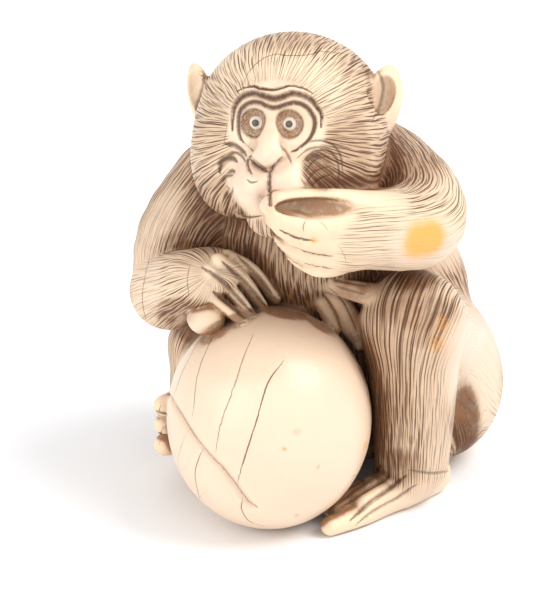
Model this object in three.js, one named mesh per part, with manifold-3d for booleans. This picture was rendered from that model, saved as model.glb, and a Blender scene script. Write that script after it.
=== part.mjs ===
// Netsuke: a seated monkey with its feet round a large peach, one hand on the fruit and
// the other cupped to its mouth. It is carved from one block of ivory, with two small
// dark pupils let into the eyes. Millimetres, +Z up. The monkey faces -Y, +X is its left
// side, and the work stands on Z = 0 with the origin under the middle of its box.
//
// The carving is a union of rounded forms: balls for the masses, limbs with round joints
// for arms, legs, fingers and toes. The head's forms are laid out in the head's own frame
// and then turned to where the monkey looks.

import * as THREE from 'three';
import { mergeVertices } from 'three/addons/utils/BufferGeometryUtils.js';
import Module from 'manifold-3d';

const wasm = await Module();
wasm.setup();

// ---- driving dimensions -------------------------------------------------------------

const PEACH_RADII = [8.5, 8.6, 9.4];
const PEACH_MIDDLE = [-4.0, -6.7, PEACH_RADII[2] - 0.1];   // it stands on a small flat
const CLEFT_RADIUS = 0.4;
const CLEFT_PROUD = 0.08;          // middle of the groove's round section above the skin

const HEAD_MIDDLE = [-2.05, -0.2, 33.05];
const HEAD_RADII = [8.0, 8.1, 7.65];
const FACE_TURN = 14;              // degrees, to the monkey's right
const FACE_LIFT = 18;              // degrees, chin up
const FACE_TILT = 4;               // degrees, its left ear up

const EYE_SPREAD = 1.42;           // from the middle of the face to each pupil
const EYE_LEVEL = 0.72;            // above the head's middle
const EYE_DEPTH = 6.55;            // eyeball's middle, in front of the head's middle
const EYEBALL_RADIUS = 0.85;
const PUPIL_RADIUS = 0.3;
const PUPIL_CLEARANCE = 0.05;
const PUPIL_LENGTH = 1.2;
const PUPIL_PROUD = 0.06;          // how far a pupil stands out of its eyeball

const CORD_HOLE_RADIUS = 1.3;
const CORD_HOLE_HEIGHT = 13;

const FACET_SAG = 0.14;            // how far a facet's middle lies inside the round form

// ---- materials ----------------------------------------------------------------------

const ivory = new THREE.MeshStandardMaterial({ color: 0xe9d8b8, roughness: 0.35, metalness: 0 });
const horn = new THREE.MeshStandardMaterial({ color: 0x1f1a17, roughness: 0.2, metalness: 0 });

// ---- solids -------------------------------------------------------------------------

const point = (xyz) => new THREE.Vector3(xyz[0], xyz[1], xyz[2]);
const degrees = THREE.MathUtils.degToRad;

// A closed geometry as a solid: only positions are kept, shared corners are merged, and
// the flat slivers at the poles of a turned form are dropped.
function solid(geometry) {
  geometry.deleteAttribute('normal');
  geometry.deleteAttribute('uv');
  const merged = mergeVertices(geometry, 1e-4);
  const corners = merged.index.array;
  const kept = [];
  for (let i = 0; i < corners.length; i += 3) {
    const [a, b, c] = [corners[i], corners[i + 1], corners[i + 2]];
    if (a !== b && b !== c && c !== a) {
      kept.push(a, b, c);
    }
  }
  const vertProperties = new Float32Array(merged.attributes.position.array);
  const triVerts = new Uint32Array(kept);
  return new wasm.Manifold(new wasm.Mesh({ numProp: 3, vertProperties, triVerts }));
}

const join = (geometries) => geometries.map(solid).reduce((whole, piece) => whole.add(piece));

// Sides of a turned form, and splits of a ball's twenty faces, that keep the sag.
const sidesFor = (radius) => Math.max(6, Math.round(Math.PI * Math.sqrt(radius / (2 * FACET_SAG))));
const splitsFor = (radius) => Math.max(1, Math.round(Math.sqrt((0.15 * radius) / FACET_SAG) - 1));

// An ellipsoid. Finer divides the sag of the large smooth masses; turn is in degrees
// about X, Y and Z.
function ball(middle, radii, finer = 1, turn = [0, 0, 0]) {
  const geometry = new THREE.IcosahedronGeometry(1, splitsFor(Math.max(...radii) * finer));
  geometry.scale(radii[0], radii[1], radii[2]);
  const euler = new THREE.Euler(degrees(turn[0]), degrees(turn[1]), degrees(turn[2]), 'ZYX');
  geometry.applyMatrix4(new THREE.Matrix4().makeRotationFromEuler(euler));
  return geometry.translate(middle[0], middle[1], middle[2]);
}

// A limb, finger or ridge: stations of [x, y, z, radius] on one smooth line, with round
// ends. A turned form with one ring of corners for each place on the line is bent to it.
function limb(...stations) {
  const line = new THREE.CatmullRomCurve3(stations.map(point), false, 'centripetal');
  const stretches = stations.length - 1;
  const radius = (t) => {
    const i = Math.min(Math.floor(t * stretches), stretches - 1);
    return THREE.MathUtils.lerp(stations[i][3], stations[i + 1][3], t * stretches - i);
  };
  const sides = sidesFor(Math.max(...stations.map((station) => station[3])));
  const capRings = Math.max(2, Math.round(sides / 4));
  const bodyRings = stretches === 1 ? 1 : stretches * 2;
  const rings = [];
  for (let i = 0; i < capRings; i += 1) {
    const angle = (Math.PI / 2) * (i / capRings);
    rings.push({ t: 0, ahead: -radius(0) * Math.cos(angle), size: radius(0) * Math.sin(angle) });
  }
  for (let i = 0; i <= bodyRings; i += 1) {
    rings.push({ t: i / bodyRings, ahead: 0, size: radius(i / bodyRings) });
  }
  for (let i = capRings - 1; i >= 0; i -= 1) {
    const angle = (Math.PI / 2) * (i / capRings);
    rings.push({ t: 1, ahead: radius(1) * Math.cos(angle), size: radius(1) * Math.sin(angle) });
  }

  const geometry = new THREE.LatheGeometry(rings.map((ring, i) => new THREE.Vector2(ring.size, i)), sides);
  const side = new THREE.Vector3(0.31, 0.53, 0.79);
  for (const ring of rings) {
    ring.forward = line.getTangent(ring.t);
    ring.side = side.addScaledVector(ring.forward, -side.dot(ring.forward)).normalize().clone();
    ring.middle = line.getPoint(ring.t).addScaledVector(ring.forward, ring.ahead);
  }
  const corners = geometry.attributes.position;
  for (let i = 0; i < corners.count; i += 1) {
    const ring = rings[Math.round(corners.getY(i))];
    const across = ring.side.clone().cross(ring.forward);
    const corner = ring.middle.clone();
    corner.addScaledVector(ring.side, corners.getX(i)).addScaledVector(across, corners.getZ(i));
    corners.setXYZ(i, corner.x, corner.y, corner.z);
  }
  return geometry;
}

// A round bar along a curve, used as a cutter.
function bar(curve, radius, steps) {
  const section = new THREE.Shape().absarc(0, 0, radius, 0, 2 * Math.PI);
  const settings = { extrudePath: curve, steps, curveSegments: 4, bevelEnabled: false };
  return new THREE.ExtrudeGeometry(section, settings);
}

// ---- body ---------------------------------------------------------------------------

// The trunk is one turned form, wider than it is deep, with the left flank beside it and
// the belly in front.
function trunk() {
  const [wider, thinner] = [1.07, 0.87];
  const back = limb([2.0, 7.2, 9.2, 9.4], [-0.2, 6.9, 18.0, 9.5], [-0.2, 5.8, 25.4, 7.9]);
  return [
    back.scale(wider, thinner, 1),
    ball([5.5, 5.5, 15.0], [7.2, 6.0, 8.0]),
    ball([-1.0, -0.3, 23.0], [6.6, 4.2, 5.8]),
  ];
}

const LEFT_KNEE = [7.9, -4.2, 16.9, 4.2];
const LEFT_ANKLE = [7.9, -3.5, 3.7, 3.1];
const HAM_HOLLOW = [12.6, -0.8, 5.6];       // dark hollow between the left shin and the seat
const HAM_HOLLOW_RADII = [1.9, 1.5, 3.4];
const RIGHT_KNEE = [-9.1, 2.8, 11.5, 3.2];
const RIGHT_ANKLE = [-10.0, 3.3, 3.5, 2.4];

// The left leg stands upright beside the peach, its foot flat and turned in front of it.
function leftLeg() {
  const toes = [
    [[7.3, -3.7, 0.9, 1.05], [4.0, -7.7, 1.0, 0.95], [1.1, -9.9, 0.9, 0.85]],
    [[6.9, -4.2, 1.7, 0.85], [4.2, -6.3, 1.7, 0.75], [1.7, -8.3, 1.4, 0.68]],
    [[6.2, -4.2, 2.4, 0.8], [3.5, -5.3, 2.0, 0.7], [1.0, -7.1, 1.1, 0.63]],
  ];
  return [
    ball([9.4, 5.8, 6.8], [6.3, 6.6, 6.9]),
    limb([9.2, 5.8, 9.5, 5.4], LEFT_KNEE),
    limb(LEFT_KNEE, [8.0, -4.5, 9.9, 3.5], LEFT_ANKLE),
    limb([9.2, -1.2, 1.6, 2.0], [6.9, -4.2, 1.7, 1.9], [3.7, -7.2, 1.5, 1.3]),
    ...toes.map((toe) => limb(...toe)),
  ];
}

// The right leg is folded, and its foot grips the peach from the side, on its edge.
function rightLeg() {
  const toeHeights = [6.6, 4.9, 3.0];
  const toeRise = 1.4;
  return [
    ball([-5.2, 9.3, 6.0], [6.3, 6.2, 6.4]),
    limb([-4.6, 8.3, 7.1, 4.8], RIGHT_KNEE),
    limb(RIGHT_KNEE, RIGHT_ANKLE),
    limb([-10.0, 3.8, 2.7, 2.3], [-11.1, 0.3, 5.0, 1.9]),
    ...toeHeights.map((z) => limb([-11.1, 1.8, z, 1.0], [-12.7, -1.7, z + toeRise, 0.95])),
  ];
}

// ---- arms ---------------------------------------------------------------------------

// Each finger is knuckle, middle joint and tip.
const RIGHT_FINGERS = [
  [[-9.4, -7.3, 21.5], [-8.0, -7.0, 19.9], [-6.2, -7.3, 18.5]],
  [[-8.8, -7.5, 23.0], [-7.1, -6.5, 20.9], [-5.6, -6.5, 18.6]],
  [[-8.1, -7.1, 23.8], [-6.2, -5.9, 21.7], [-4.6, -4.8, 18.6]],
  [[-7.4, -6.0, 23.6], [-5.3, -4.7, 21.8], [-3.5, -3.4, 18.7]],
];
const RIGHT_FINGER_RADII = [0.66, 0.55, 0.52];

const LEFT_FINGERS = [
  { size: 0.85, joints: [[2.3, -10.9, 29.3], [-0.8, -11.9, 29.0], [-4.1, -11.0, 30.5]] },
  { size: 0.70, joints: [[1.9, -11.1, 27.6], [-1.0, -12.2, 27.8], [-3.8, -10.9, 29.2]] },
  { size: 0.60, joints: [[1.7, -10.6, 26.0], [-0.8, -11.9, 26.4], [-3.1, -10.6, 27.3]] },
  { size: 0.55, joints: [[1.7, -9.9, 24.5], [-0.1, -11.2, 25.0], [-2.1, -10.0, 25.6]] },
];
const LEFT_TIP_TAPER = 0.8;

// The right arm hangs beside the chest and its hand lies over the top of the peach.
function rightArm() {
  return [
    limb([-8.0, 3.8, 25.3, 4.4], [-11.2, 1.7, 22.0, 3.8], [-12.1, -0.2, 18.2, 3.3]),
    limb([-12.3, -1.2, 18.4, 3.3], [-10.2, -5.7, 21.5, 2.5]),
    ball([-8.7, -5.9, 22.3], [2.4, 2.1, 2.0]),
    ...RIGHT_FINGERS.map((joints) => limb(...joints.map((xyz, i) => [...xyz, RIGHT_FINGER_RADII[i]]))),
    ball([-9.2, -6.7, 18.5], [1.6, 1.5, 1.5]),
  ];
}

// The left elbow is raised in front of the body and the hand makes a cup at the mouth,
// with the thumb behind and the four fingers in front.
function leftArm() {
  const fingers = LEFT_FINGERS.map(({ size, joints }) => {
    const radii = [size, size, size * LEFT_TIP_TAPER];
    return limb(...joints.map((xyz, i) => [...xyz, radii[i]]));
  });
  const arm = [
    limb([6.0, 3.8, 26.4, 4.2], [8.4, -1.7, 26.7, 3.7], [8.0, -5.5, 26.3, 3.7], [3.1, -9.1, 27.4, 3.1]),
    ball([0.4, -10.1, 27.3], [3.2, 2.0, 2.8], 1.5),
    limb([6.0, -8.2, 28.6, 1.6], [3.4, -9.6, 30.2, 1.0], [0.0, -10.4, 31.1, 0.65], [-3.5, -10.7, 31.0, 0.55]),
    ...fingers,
  ];
  const hollow = ball([-0.1, -11.5, 30.6], [3.4, 1.1, 0.72], 1.5);
  return join(arm).subtract(solid(hollow));
}

// ---- head ---------------------------------------------------------------------------

// Head frame to work frame. In the head frame +X is the monkey's left, -Y is where it
// looks, +Z is its crown, and the origin is the middle of the skull.
function headMatrix() {
  const turn = new THREE.Euler(degrees(-FACE_LIFT), degrees(-FACE_TILT), degrees(-FACE_TURN), 'ZXY');
  return new THREE.Matrix4().makeRotationFromEuler(turn).setPosition(...HEAD_MIDDLE);
}

const SKULL_AND_FACE = () => [
  ball([0, 0, 0], HEAD_RADII, 1.4),
  ball([-4.2, -2.2, -3.2], [3.6, 4.4, 4.4]),
  ball([3.9, -2.2, -3.2], [3.6, 4.4, 4.4]),
  limb([-3.2, -6.3, 2.2, 1], [-1.4, -7.1, 3, 1], [0, -7.2, 2.7, 0.9], [1.4, -7.1, 3, 1], [3.2, -6.3, 2.2, 1]),
  ball([0, -5.6, -4.6], [3.5, 3.2, 3.0], 1.5),
  ball([-1.3, -6.7, -4.4], [2.0, 2.1, 2.1], 1.5),
  ball([1.3, -6.7, -4.4], [2.0, 2.1, 2.1], 1.5),
  ball([-0.3, -5.2, -7.3], [2.2, 2.3, 1.6], 1.5),
  limb([0, -7.1, 1.4, 0.55], [0, -8.2, -1.9, 0.9]),
  ball([-0.85, -7.85, -1.75], [0.75, 0.85, 0.6]),
  ball([0.7, -7.85, -1.6], [0.75, 0.85, 0.6]),
];

const SIDES = [-1, 1];             // the monkey's right and left
const eyeSocket = (side) => ball([side * 1.45, -8.0, EYE_LEVEL], [1.25, 1.05, 1.25]);
const eyeball = (side) => {
  const radii = [EYEBALL_RADIUS, EYEBALL_RADIUS, EYEBALL_RADIUS];
  return ball([side * EYE_SPREAD, -EYE_DEPTH, EYE_LEVEL], radii);
};

// A thin shell of an ear stands out from the head and is hollowed on the front.
const EAR_ROOTS = { '-1': [-7.9, 0.3, 2.0], 1: [7.6, 0.2, 2.1] };
const EAR_RADII = { '-1': [0.95, 1.9, 2.9], 1: [1.25, 1.9, 3.1] };
const earLean = (side) => [0, side * 12, -side * 30];
const ear = (side) => ball(EAR_ROOTS[side], EAR_RADII[side], 2, earLean(side));
const earHollow = (side) => {
  const [x, y, z] = EAR_ROOTS[side];
  return ball([x + side * 0.1, y - 1.5, z + 0.6], [0.7, 1.5, 1.7], 1, earLean(side));
};

// A pupil is a short peg with a domed front, turned about the direction of the gaze.
function pupilPeg(radius, length, proud) {
  const dome = 0.08;
  const profile = [
    new THREE.Vector2(0, 0),
    new THREE.Vector2(radius, 0),
    new THREE.Vector2(radius, length - dome),
    new THREE.Vector2(radius * 0.7, length - dome * 0.35),
    new THREE.Vector2(0, length),
  ];
  const geometry = new THREE.LatheGeometry(profile, 12);
  geometry.rotateX(Math.PI);
  geometry.translate(0, length - EYEBALL_RADIUS - proud, 0);
  return geometry;
}

function placePupil(geometry, side) {
  geometry.translate(side * EYE_SPREAD, -EYE_DEPTH, EYE_LEVEL);
  return geometry.applyMatrix4(headMatrix());
}

function head() {
  const turned = (geometries) => geometries.map((geometry) => geometry.applyMatrix4(headMatrix()));
  const pupilHoles = SIDES.map((side) => {
    const hole = pupilPeg(PUPIL_RADIUS + PUPIL_CLEARANCE, PUPIL_LENGTH + 1, PUPIL_PROUD + 0.9);
    return placePupil(hole, side);
  });
  return join(turned(SKULL_AND_FACE()))
    .subtract(join(turned(SIDES.map(eyeSocket))))
    .add(join(turned(SIDES.map(eyeball))))
    .add(join(turned(SIDES.map(ear))))
    .subtract(join(turned(SIDES.map(earHollow))))
    .subtract(join(pupilHoles));
}

// ---- peach, leaf and twig -----------------------------------------------------------

// The cleft runs over the lower front of the fruit, from its right edge to its tip. Its
// places are directions from the middle of the fruit, and are brought to its skin.
const CLEFT = [[-8.1, 0.8, 2.1], [-7.3, -3.7, 1.8], [-5.7, -6.4, 0.3], [-3.9, -7.7, -1.1], [-1.1, -7.6, -4.6]];

function onPeach(xyz) {
  const place = point(xyz);
  place.divideScalar(place.clone().divide(point(PEACH_RADII)).length());
  return place.setLength(place.length() + CLEFT_PROUD);
}

function peach() {
  const fruit = ball(PEACH_MIDDLE, PEACH_RADII, 1.7);
  const line = new THREE.CatmullRomCurve3(CLEFT.map(onPeach));
  const groove = bar(line, CLEFT_RADIUS, 12).translate(...PEACH_MIDDLE);
  return solid(fruit).subtract(solid(groove));
}

// Ivory left standing between the fruit and the body behind it.
const peachBed = () => ball([-4.3, -2.7, 8.7], [8.0, 7.5, 7.9]);

// A folded leaf and the stub of its twig, in the fork between peach, belly and knee.
function leafAndTwig() {
  return [
    limb([-0.2, -2.3, 18.9, 0.6], [1.4, -3.5, 16.0, 0.6]),
    ball([2.2, -2.7, 16.8], [0.9, 0.8, 3.0], 1, [0, -28, 0]),
    limb([1.2, -2.3, 19.4, 0.5], [2.4, -2.7, 17.1, 0.6], [3.5, -3.1, 14.3, 0.5]),
    limb([0.0, -3.0, 20.0, 0.5], [2.3, -3.9, 19.8, 0.8], [4.9, -4.7, 19.5, 1.0]),
  ];
}

// ---- the whole carving --------------------------------------------------------------

// The tunnel for a cord: in at one hole in the back and out at the other.
function cordTunnel() {
  const curve = new THREE.CatmullRomCurve3([
    new THREE.Vector3(-3.0, 16.0, CORD_HOLE_HEIGHT),
    new THREE.Vector3(-2.0, 12.0, CORD_HOLE_HEIGHT),
    new THREE.Vector3(0.5, 10.0, CORD_HOLE_HEIGHT),
    new THREE.Vector3(3.0, 12.0, CORD_HOLE_HEIGHT),
    new THREE.Vector3(4.0, 16.0, CORD_HOLE_HEIGHT),
  ]);
  return bar(curve, CORD_HOLE_RADIUS, 10);
}

function carvedWork() {
  const groundBlock = new THREE.BoxGeometry(80, 80, 20).translate(0, 0, -10);
  return join([...trunk(), ...leftLeg(), ...rightLeg(), ...rightArm(), peachBed(), ...leafAndTwig()])
    .add(leftArm())
    .add(head())
    .add(peach())
    .subtract(solid(ball(HAM_HOLLOW, HAM_HOLLOW_RADII)))
    .subtract(solid(cordTunnel()))
    .subtract(solid(groundBlock));
}

function named(name, geometry, material) {
  const mesh = new THREE.Mesh(geometry, material);
  mesh.name = name;
  return mesh;
}

function carvingMesh() {
  const { vertProperties, triVerts } = carvedWork().getMesh();
  const geometry = new THREE.BufferGeometry();
  geometry.setAttribute('position', new THREE.BufferAttribute(vertProperties, 3));
  geometry.setIndex(new THREE.BufferAttribute(triVerts, 1));
  geometry.computeVertexNormals();
  return named('carving', geometry, ivory);
}

function pupilMesh(name, side) {
  return named(name, placePupil(pupilPeg(PUPIL_RADIUS, PUPIL_LENGTH, PUPIL_PROUD), side), horn);
}

const netsuke = new THREE.Group();
netsuke.add(carvingMesh(), pupilMesh('pupil_right', -1), pupilMesh('pupil_left', 1));

// The middle of the box is brought over the origin.
const middle = new THREE.Box3().setFromObject(netsuke).getCenter(new THREE.Vector3());
netsuke.position.set(-middle.x, -middle.y, 0);

export default netsuke;
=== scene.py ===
"""Ivory netsuke: a seated monkey with a large peach.

The carving is sculpted as one clay field on a grid, turned into a mesh, cut with the
carved lines and thinned. Its attributes then tell the ivory material where fur strokes,
carved lines, stains and worn places are. Lengths are in millimetres until the mesh is made.
"""
import math
from functools import reduce

import bpy
import numpy as np
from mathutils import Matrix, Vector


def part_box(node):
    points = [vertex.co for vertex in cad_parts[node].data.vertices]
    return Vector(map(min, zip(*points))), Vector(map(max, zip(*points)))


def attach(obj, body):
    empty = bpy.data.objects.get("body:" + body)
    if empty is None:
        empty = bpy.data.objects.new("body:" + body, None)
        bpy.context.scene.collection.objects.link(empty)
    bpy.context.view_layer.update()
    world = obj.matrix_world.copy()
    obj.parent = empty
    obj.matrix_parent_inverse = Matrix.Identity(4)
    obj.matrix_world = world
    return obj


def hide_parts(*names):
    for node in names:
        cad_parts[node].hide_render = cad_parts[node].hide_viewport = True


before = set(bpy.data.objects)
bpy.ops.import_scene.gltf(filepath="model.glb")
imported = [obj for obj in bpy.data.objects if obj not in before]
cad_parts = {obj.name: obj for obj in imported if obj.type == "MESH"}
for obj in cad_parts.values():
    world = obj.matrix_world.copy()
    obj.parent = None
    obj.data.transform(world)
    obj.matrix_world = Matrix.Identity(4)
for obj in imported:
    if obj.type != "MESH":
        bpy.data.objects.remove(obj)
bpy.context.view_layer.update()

import openvdb
from mathutils import Vector

MM = 0.001
PER_METRE = 1000.0
SIDES = (-1, 1)  # the monkey's right, then its left

# ---- sizes, in millimetres, in the carver's frame ----

PEACH_RADII = (8.5, 8.6, 9.4)
PEACH_MIDDLE = (-4.0, -6.7, 9.3)
HEAD_MIDDLE = (-2.05, -0.2, 33.05)
HEAD_RADII = (8.0, 8.1, 7.65)
FACE_TURN, FACE_LIFT, FACE_TILT = 14, 18, 4  # degrees
EYE_SPREAD, EYE_LEVEL = 1.42, 0.72
EYE_DEPTH, PUPIL_MIDDLE_DEPTH = 7.1, 6.86

ELBOW_PATCHES = ((8.0, -9.2, 26.8), (8.9, -8.8, 26.7))  # what is left of the tusk's amber skin

CLAY_PITCH = 0.125
FEELER_REACH = 3.0  # how far off the skin the clay is still felt
MOST_TRIANGLES = 192_000

LOOK_ELEVATION = 25  # degrees, of the main view
LOOK_TARGET = (-3.47, 0.8, 16.1)
LOOK_HEIGHT = 50.83  # height of the main view at the target
LOOK_DISTANCE = 800


# ---- camera ----

def make_camera():
    """A long lens at the main view's angle."""
    data = bpy.data.cameras.new("camera")
    camera = bpy.data.objects.new("camera", data)
    bpy.context.scene.collection.objects.link(camera)
    slope = math.radians(LOOK_ELEVATION)
    back = Vector((0, -math.cos(slope), math.sin(slope)))
    camera.location = (Vector(LOOK_TARGET) + back * LOOK_DISTANCE) * MM
    camera.rotation_euler = (-back).to_track_quat("-Z", "Y").to_euler()
    data.sensor_width = 36
    data.lens = data.sensor_width * LOOK_DISTANCE / LOOK_HEIGHT
    data.clip_start, data.clip_end = 0.05, 20
    bpy.context.scene.camera = camera


# ---- vectors and curves ----

def vec(*xyz):
    return np.array(xyz, float)


def unit(v):
    return v / np.maximum(np.linalg.norm(v, axis=-1, keepdims=True), 1e-9)


def turn_matrix(x, y, z):
    """Rotation about X, then Y, then Z, in degrees."""
    (cx, cy, cz), (sx, sy, sz) = np.cos(np.radians([x, y, z])), np.sin(np.radians([x, y, z]))
    about_x = np.array([[1, 0, 0], [0, cx, -sx], [0, sx, cx]])
    about_y = np.array([[cy, 0, sy], [0, 1, 0], [-sy, 0, cy]])
    about_z = np.array([[cz, -sz, 0], [sz, cz, 0], [0, 0, 1]])
    return about_z @ about_y @ about_x


# In the head's own frame +X is the monkey's left, -Y is where it looks, +Z its crown.
HEAD_TURN = (turn_matrix(0, 0, -FACE_TURN) @ turn_matrix(-FACE_LIFT, 0, 0)
             @ turn_matrix(0, -FACE_TILT, 0))


def from_head(xyz):
    return np.asarray(xyz) @ HEAD_TURN.T + HEAD_MIDDLE


def to_head(points):
    return (points - HEAD_MIDDLE) @ HEAD_TURN


LIMB_STEPS, LINE_STEPS, FLOW_STEPS = 3, 6, 8  # straight parts to a stretch of curve


def smooth_line(stations, steps):
    """A smooth curve through stations of place and radius, as a list of finer stations."""
    p = np.array(stations, float)
    if len(p) == 2:
        return p
    ends = np.vstack([2 * p[0] - p[1], p, 2 * p[-1] - p[-2]])
    out = [p[0]]
    for i in range(len(p) - 1):
        a, b, c, d = ends[i:i + 4]
        for k in range(1, steps + 1):
            t = k / steps
            curve = 0.5 * (2 * b + (c - a) * t + (2 * a - 5 * b + 4 * c - d) * t**2
                           + (3 * b - a - 3 * c + d) * t**3)
            curve[3] = b[3] + (c[3] - b[3]) * t
            out.append(curve)
    return np.array(out)


# ---- clay ----

class Ball:
    """An ellipsoid."""

    def __init__(self, middle, radii, turn=np.eye(3)):
        self.middle, self.radii, self.turn = np.array(middle, float), np.array(radii, float), turn

    def moved(self, place, turn):
        return Ball(place(self.middle), self.radii, turn @ self.turn)

    def reach(self):
        half = np.sqrt(((self.turn * self.radii) ** 2).sum(1))
        return self.middle - half, self.middle + half

    def distance(self, x, y, z):
        away = (x - self.middle[0], y - self.middle[1], z - self.middle[2])
        near, steep = 0, 0
        for i, radius in enumerate(self.radii):
            along = sum(float(self.turn[k, i]) * away[k] for k in range(3)) / radius
            near = near + along**2
            steep = steep + (along / radius) ** 2
        near, steep = np.sqrt(near), np.sqrt(steep)
        return near * (near - 1) / (steep + 1e-6)


class Cone:
    """A stretch between two round ends."""

    def __init__(self, start, end):
        self.start, self.end = np.array(start, float), np.array(end, float)

    def moved(self, place, turn):
        return Cone([*place(self.start[:3]), self.start[3]], [*place(self.end[:3]), self.end[3]])

    def reach(self):
        low = np.minimum(self.start[:3] - self.start[3], self.end[:3] - self.end[3])
        return low, np.maximum(self.start[:3] + self.start[3], self.end[:3] + self.end[3])

    def distance(self, x, y, z):
        along = self.end[:3] - self.start[:3]
        away = (x - self.start[0], y - self.start[1], z - self.start[2])
        t = sum(float(along[k]) * away[k] for k in range(3)) / float(along @ along)
        t = np.clip(t, 0, 1)
        gap = sum((away[k] - float(along[k]) * t) ** 2 for k in range(3))
        return np.sqrt(gap) - (self.start[3] + (self.end[3] - self.start[3]) * t)


def ball(middle, radii, turn=(0, 0, 0)):
    return [Ball(middle, radii, turn_matrix(*turn))]


def limb(*stations):
    line = smooth_line(stations, LIMB_STEPS)
    return [Cone(a, b) for a, b in zip(line[:-1], line[1:])]


def with_radii(joints, radii):
    return [[*xyz, radius] for xyz, radius in zip(joints, radii)]


def melt(a, b, width):
    """The lesser of two distances, rounded over this width where they meet."""
    if width <= 0:
        return np.minimum(a, b)
    fillet = np.maximum(width - np.abs(a - b), 0) / width
    return np.minimum(a, b) - fillet**2 * width / 4


class Form:
    """One form of the carving: its solids, the coat it wears and how softly it joins."""

    def __init__(self, coat, solids, blend=0.5, inner=0.0, squash=(1, 1, 1)):
        self.coat, self.solids, self.blend, self.inner = coat, solids, blend, inner
        self.squash = np.array(squash, float)

    def reach(self):
        ends = [solid.reach() for solid in self.solids]
        low, high = np.min([e[0] for e in ends], 0), np.max([e[1] for e in ends], 0)
        return low * self.squash, high * self.squash

    def distance(self, x, y, z):
        x, y, z = x / self.squash[0], y / self.squash[1], z / self.squash[2]
        total = self.solids[0].distance(x, y, z)
        for solid in self.solids[1:]:
            total = melt(total, solid.distance(x, y, z), self.inner)
        return total * float(self.squash.min())


def head_form(solids, blend, inner=0.0, coat="head"):
    """A form whose solids are laid out in the head's own frame."""
    return Form(coat, [solid.moved(from_head, HEAD_TURN) for solid in solids], blend, inner)


class Clay:
    """A block of clay as a grid of distances to its surface, negative inside."""

    def __init__(self, low, high, pitch):
        self.low, self.pitch = np.array(low, float), pitch
        self.counts = [int(math.ceil((high[i] - low[i]) / pitch)) + 1 for i in range(3)]
        self.field = np.full(self.counts, FEELER_REACH, np.float32)

    def window(self, form):
        low, high = form.reach()
        margin = FEELER_REACH + self.pitch
        first = np.maximum(np.floor((low - margin - self.low) / self.pitch).astype(int), 0)
        last = np.ceil((high + margin - self.low) / self.pitch).astype(int) + 1
        last = np.minimum(last, self.counts)
        part = tuple(slice(a, b) for a, b in zip(first, last))
        axes = [self.low[i] + self.pitch * np.arange(first[i], last[i]) for i in range(3)]
        x, y, z = [axis.astype(np.float32) for axis in axes]
        return part, x[:, None, None], y[None, :, None], z[None, None, :]

    def add(self, form):
        part, x, y, z = self.window(form)
        self.field[part] = melt(self.field[part], form.distance(x, y, z), form.blend)

    def cut(self, form):
        part, x, y, z = self.window(form)
        self.field[part] = -melt(-self.field[part], form.distance(x, y, z), form.blend)

    def cut_flat(self):
        """Cuts the block off flat at the ground."""
        heights = self.low[2] + self.pitch * np.arange(self.counts[2])
        self.field = np.maximum(self.field, -heights.astype(np.float32)[None, None, :])

    def at(self, points):
        """The distance at each point, between the grid's corners."""
        place = np.clip((points - self.low) / self.pitch, 0, np.array(self.counts) - 1.001)
        corner = place.astype(int)
        share = (place - corner).astype(np.float32)
        total = 0
        for step in np.ndindex(2, 2, 2):
            weight = 1
            for i in range(3):
                weight = weight * (share[:, i] if step[i] else 1 - share[:, i])
            total = total + weight * self.field[tuple((corner + step).T)]
        return total

    def normals(self, points):
        step = self.pitch * 0.8
        parts = []
        for i in range(3):
            shift = np.zeros(3)
            shift[i] = step
            parts.append(self.at(points + shift) - self.at(points - shift))
        return unit(np.stack(parts, -1))

    def skin(self):
        """The surface as points and faces of four or three corners."""
        grid = openvdb.FloatGrid(background=FEELER_REACH)
        grid.copyFromArray(self.field)
        points, triangles, quads = grid.convertToPolygons(isovalue=0.0, adaptivity=0.0)
        return points * self.pitch + self.low, [*triangles.tolist(), *quads.tolist()]


# ---- the forms ----

def trunk():
    back = limb([2.0, 7.2, 9.2, 9.4], [-0.2, 6.9, 18.0, 9.5], [-0.2, 5.8, 25.4, 7.9])
    return [
        Form("trunk", back, squash=(1.07, 0.87, 1)),
        Form("trunk", ball([5.5, 5.5, 15.0], [7.2, 6.0, 8.0]), 2.0),
        Form("trunk", ball([-1.0, -0.3, 23.0], [6.6, 4.2, 5.8]), 2.0),
    ]


LEFT_KNEE = [7.9, -4.2, 16.9, 4.2]
LEFT_ANKLE = [7.9, -3.5, 3.7, 3.1]
HAM_HOLLOW, HAM_HOLLOW_RADII = (12.6, -0.8, 5.6), (1.9, 1.5, 3.4)  # between shin and seat
RIGHT_KNEE = [-9.1, 2.8, 11.5, 3.2]
RIGHT_ANKLE = [-10.0, 3.3, 3.5, 2.4]


def left_leg():
    toes = [
        [[7.3, -3.7, 0.9, 1.05], [4.0, -7.7, 1.0, 0.95], [1.1, -9.9, 0.9, 0.85]],
        [[6.9, -4.2, 1.7, 0.85], [4.2, -6.3, 1.7, 0.75], [1.7, -8.3, 1.4, 0.68]],
        [[6.2, -4.2, 2.4, 0.8], [3.5, -5.3, 2.0, 0.7], [1.0, -7.1, 1.1, 0.63]],
    ]
    return [
        Form("left_leg", ball([9.4, 5.8, 6.8], [6.3, 6.6, 6.9]), 1.6),
        Form("left_leg", limb([9.2, 5.8, 9.5, 5.4], LEFT_KNEE), 1.2),
        Form("left_leg", limb(LEFT_KNEE, [8.0, -4.5, 9.9, 3.5], LEFT_ANKLE), 0.9),
        Form("left_foot", limb([9.2, -1.2, 1.6, 2.0], [6.9, -4.2, 1.7, 1.9], [3.7, -7.2, 1.5, 1.3]),
             0.6),
        *[Form("left_foot", limb(*toe), 0.25) for toe in toes],
    ]


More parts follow.
